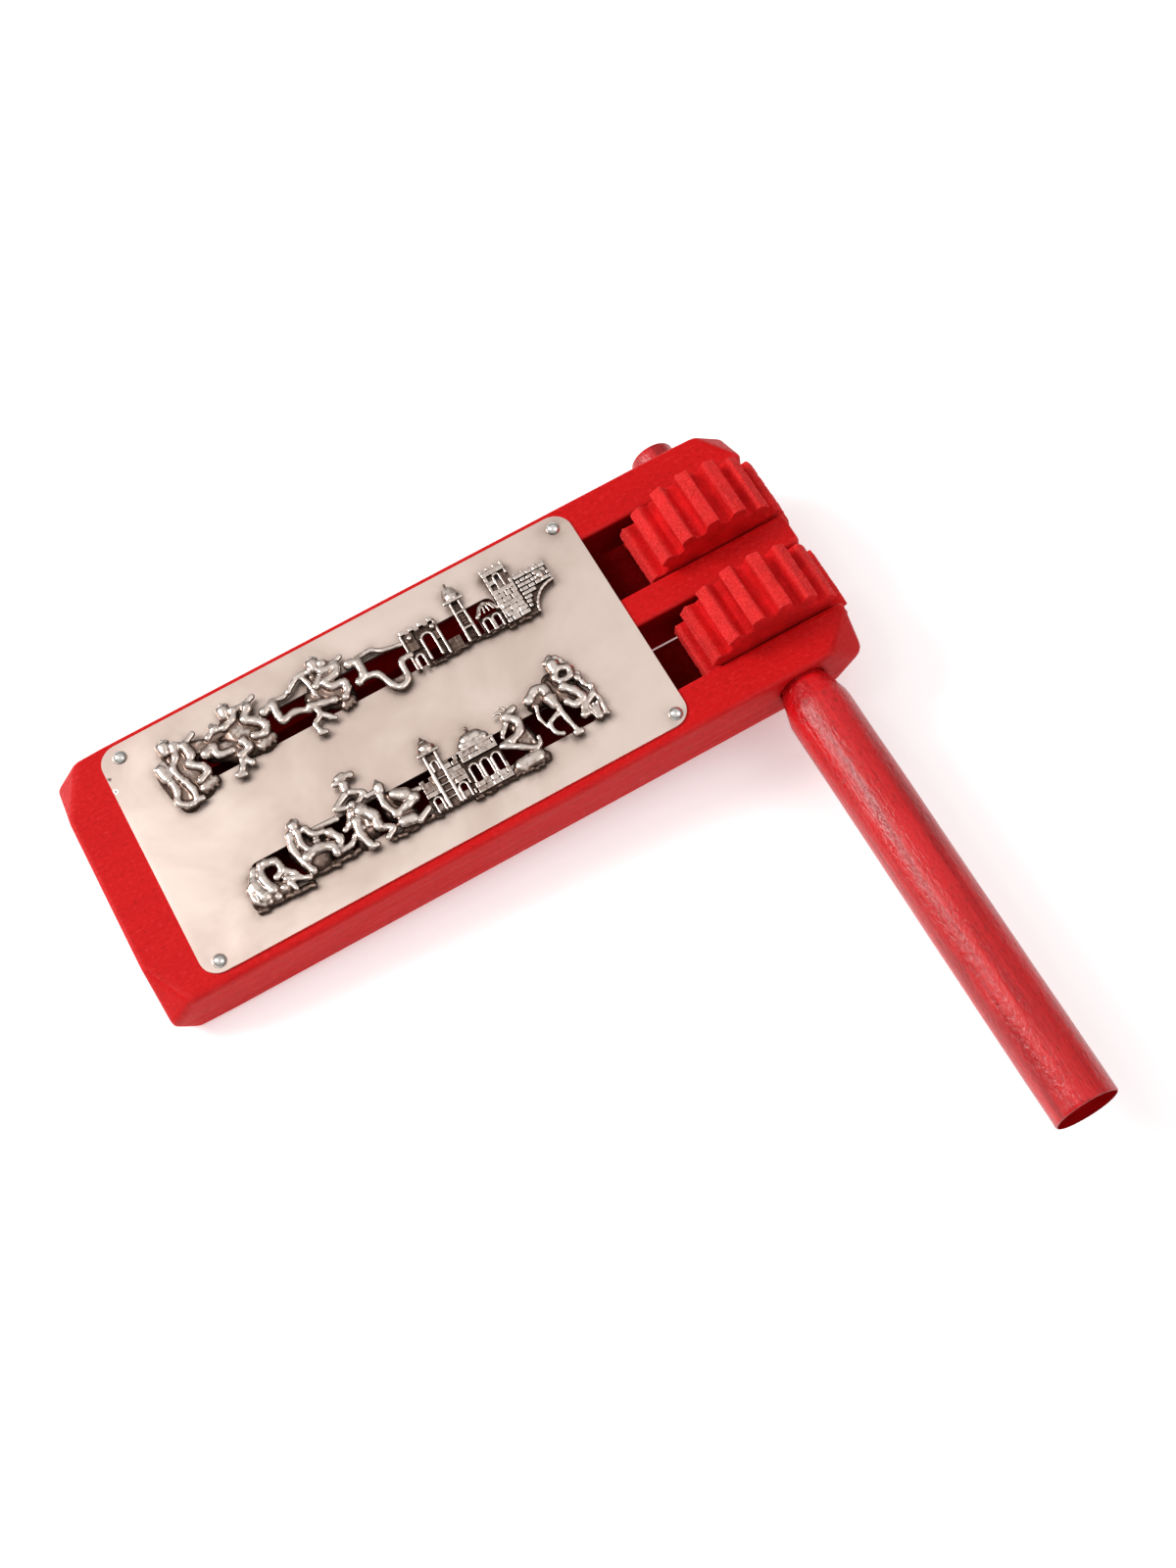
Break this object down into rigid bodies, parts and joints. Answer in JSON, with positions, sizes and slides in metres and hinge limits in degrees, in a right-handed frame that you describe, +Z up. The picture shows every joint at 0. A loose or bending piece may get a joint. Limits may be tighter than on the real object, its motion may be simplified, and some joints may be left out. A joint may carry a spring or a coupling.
{
  "type": "cog ratchet noisemaker",
  "caption": "Wooden cog ratchet: a crank handle turns toothed wheels in a slotted board, and springy tongues snap over the teeth under a pierced metal face plate with cast friezes.",
  "frame": {"origin": "centre of the board's underside", "axes": "+X along the board towards the cogs, +Y across the board away from the handle, +Z up through the face plate"},
  "size_m": [0.2307, 0.2395, 0.0484],
  "materials": {
    "board_wood": "red-stained wood, satin",
    "handle_wood": "red-stained wood with open grain, satin",
    "cog_wood": "red-stained wood, matt, paler on the tooth tips",
    "tongue_wood": "dark red stained wood, matt",
    "plate_metal": "polished warm silver sheet",
    "cast_metal": "cast silver with dark recesses",
    "pin_metal": "polished",
    "brad_steel": "plain wire"
  },
  "bodies": {
    "frame": {"frame_board": "board_wood", "face_plate": "plate_metal", "frieze_back": "cast_metal", "frieze_front": "cast_metal", "plate_pin_front_left": "pin_metal", "plate_pin_back_left": "pin_metal", "plate_pin_front_right": "pin_metal", "plate_pin_back_right": "pin_metal", "tongue_brad_front_1": "brad_steel", "tongue_brad_front_2": "brad_steel", "tongue_brad_back_1": "brad_steel", "tongue_brad_back_2": "brad_steel"},
    "crank": {"crank_handle": "handle_wood", "cog_front": "cog_wood", "cog_back": "cog_wood", "cog_brad_front": "brad_steel", "cog_brad_back": "brad_steel"},
    "tongue_front": {"tongue_front": "tongue_wood"},
    "tongue_back": {"tongue_back": "tongue_wood"}
  },
  "joints": [
    {"name": "crank_turn", "type": "hinge", "parent": "frame", "child": "crank", "pos_m": [0.0925, 0, 0.01], "axis": [0, -1, 0], "continuous": true},
    {"name": "tongue_front_flex", "type": "hinge", "parent": "frame", "child": "tongue_front", "pos_m": [-0.078, -0.0207, 0.01], "axis": [0, -1, 0], "range_deg": [-3.2, 3.75], "stiffness_Nm_per_rad": 4, "deforming": ["tongue_front"]},
    {"name": "tongue_back_flex", "type": "hinge", "parent": "frame", "child": "tongue_back", "pos_m": [-0.078, 0.0137, 0.01], "axis": [0, -1, 0], "range_deg": [-4.7, 2.4], "stiffness_Nm_per_rad": 4, "deforming": ["tongue_back"]}
  ]
}
